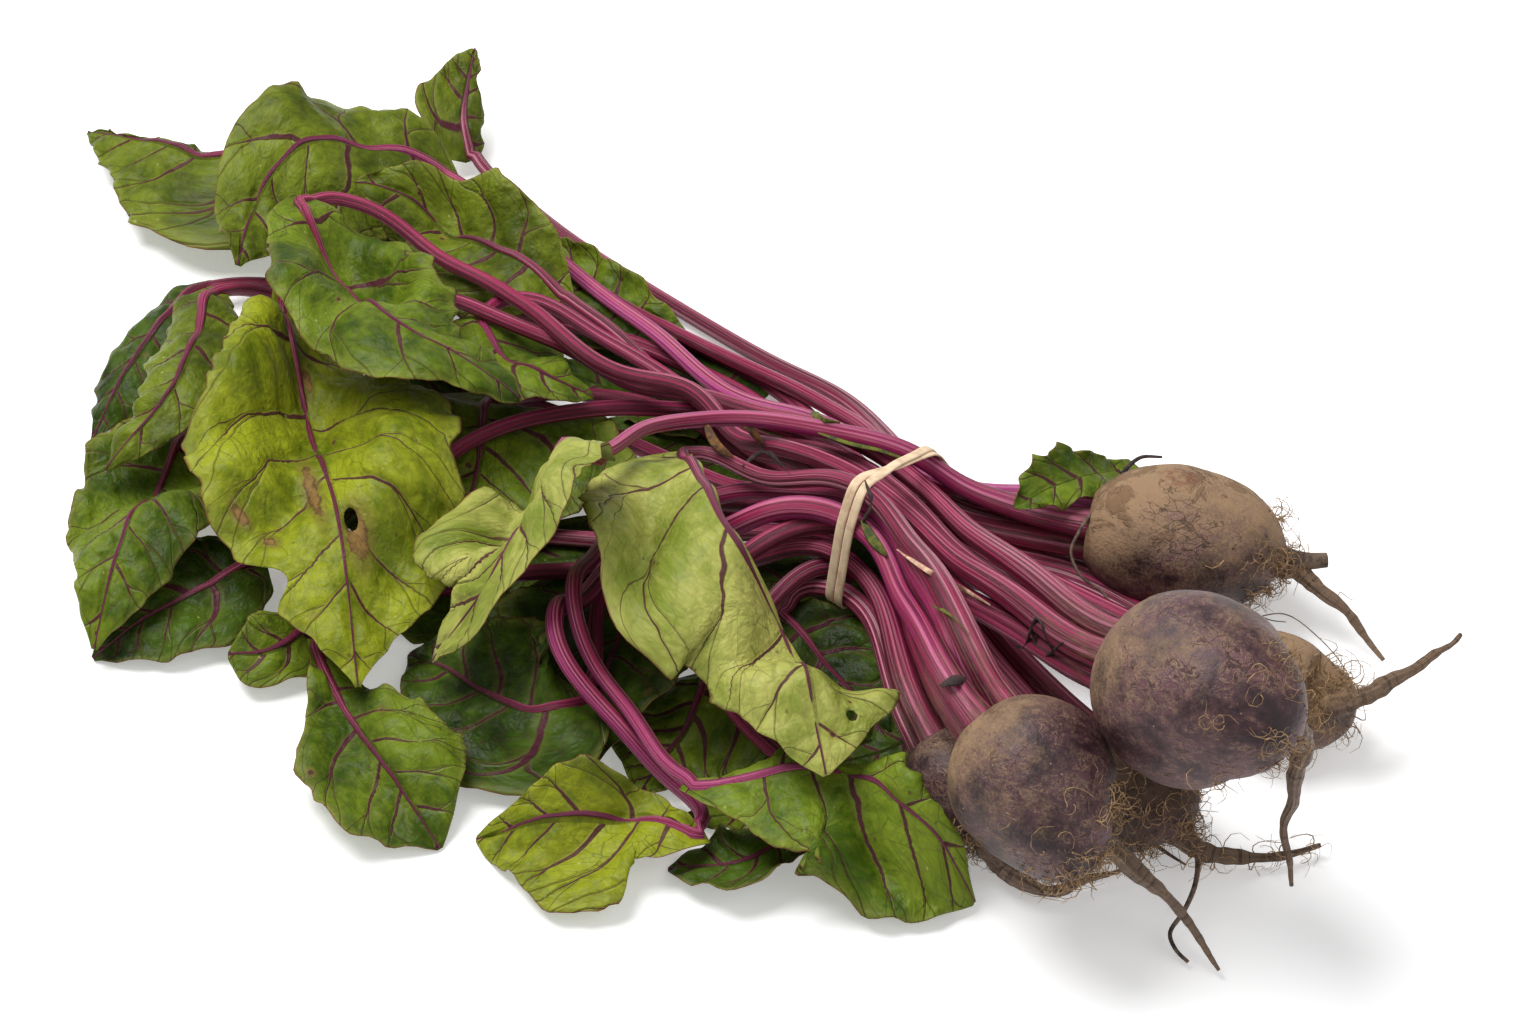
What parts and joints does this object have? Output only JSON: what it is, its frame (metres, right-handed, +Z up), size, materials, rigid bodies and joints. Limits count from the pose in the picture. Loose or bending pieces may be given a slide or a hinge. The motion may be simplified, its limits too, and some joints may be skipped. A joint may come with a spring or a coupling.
{
  "type": "bunch of beets with tops",
  "caption": "Round dark beet roots with taproots, red stalks and wavy green leaves, tied with a flat rubber band and lying on one side.",
  "frame": {"origin": "middle of the bunch's box, on the surface it lies on", "axes": "+X along the bunch from the leaves toward the roots, +Z up from the surface, +Y away from the side that faces the viewer"},
  "size_m": [0.6346, 0.3518, 0.1272],
  "materials": {
    "root_skin": "dull dark purple-brown skin with dried soil",
    "stalk_skin": "smooth ribbed magenta to pale pink stalk",
    "leaf_green": "soft semi-gloss green leaf with purple veins",
    "band_rubber": "dull cream rubber"
  },
  "bodies": {
    "root": {"root_1": "root_skin", "root_2": "root_skin", "root_3": "root_skin", "root_4": "root_skin", "root_5": "root_skin", "root_6": "root_skin", "band": "band_rubber", "young_leaf": "leaf_green", "stalk_low_1": "stalk_skin", "stalk_low_2": "stalk_skin", "stalk_low_3": "stalk_skin", "stalk_far_tip": "stalk_skin", "stalk_upright": "stalk_skin", "stalk_far_side": "stalk_skin", "stalk_corner_1": "stalk_skin", "stalk_corner_2": "stalk_skin", "stalk_left_1": "stalk_skin", "stalk_left_2": "stalk_skin", "stalk_left_3": "stalk_skin", "stalk_middle_1": "stalk_skin", "stalk_near_dark": "stalk_skin", "stalk_near_left": "stalk_skin", "stalk_far_top": "stalk_skin", "stalk_far_olive": "stalk_skin", "stalk_small_top": "stalk_skin", "stalk_big_left": "stalk_skin", "stalk_near_low_1": "stalk_skin", "stalk_near_low_2": "stalk_skin", "stalk_near_bright": "stalk_skin", "stalk_top_green": "stalk_skin", "stalk_top_diamond": "stalk_skin", "stalk_top_arch": "stalk_skin", "blade_low_1": "leaf_green", "blade_low_2": "leaf_green", "blade_low_3": "leaf_green", "blade_far_tip": "leaf_green", "blade_upright": "leaf_green", "blade_far_side": "leaf_green", "blade_corner_1": "leaf_green", "blade_corner_2": "leaf_green", "blade_left_1": "leaf_green", "blade_left_2": "leaf_green", "blade_left_3": "leaf_green", "blade_middle_1": "leaf_green", "blade_near_dark": "leaf_green", "blade_near_left": "leaf_green", "blade_far_top": "leaf_green", "blade_far_olive": "leaf_green", "blade_small_top": "leaf_green", "blade_big_left": "leaf_green", "blade_near_low_1": "leaf_green", "blade_near_low_2": "leaf_green", "blade_near_bright": "leaf_green", "blade_top_green": "leaf_green", "blade_top_diamond": "leaf_green", "blade_top_arch": "leaf_green"}
  },
  "joints": []
}
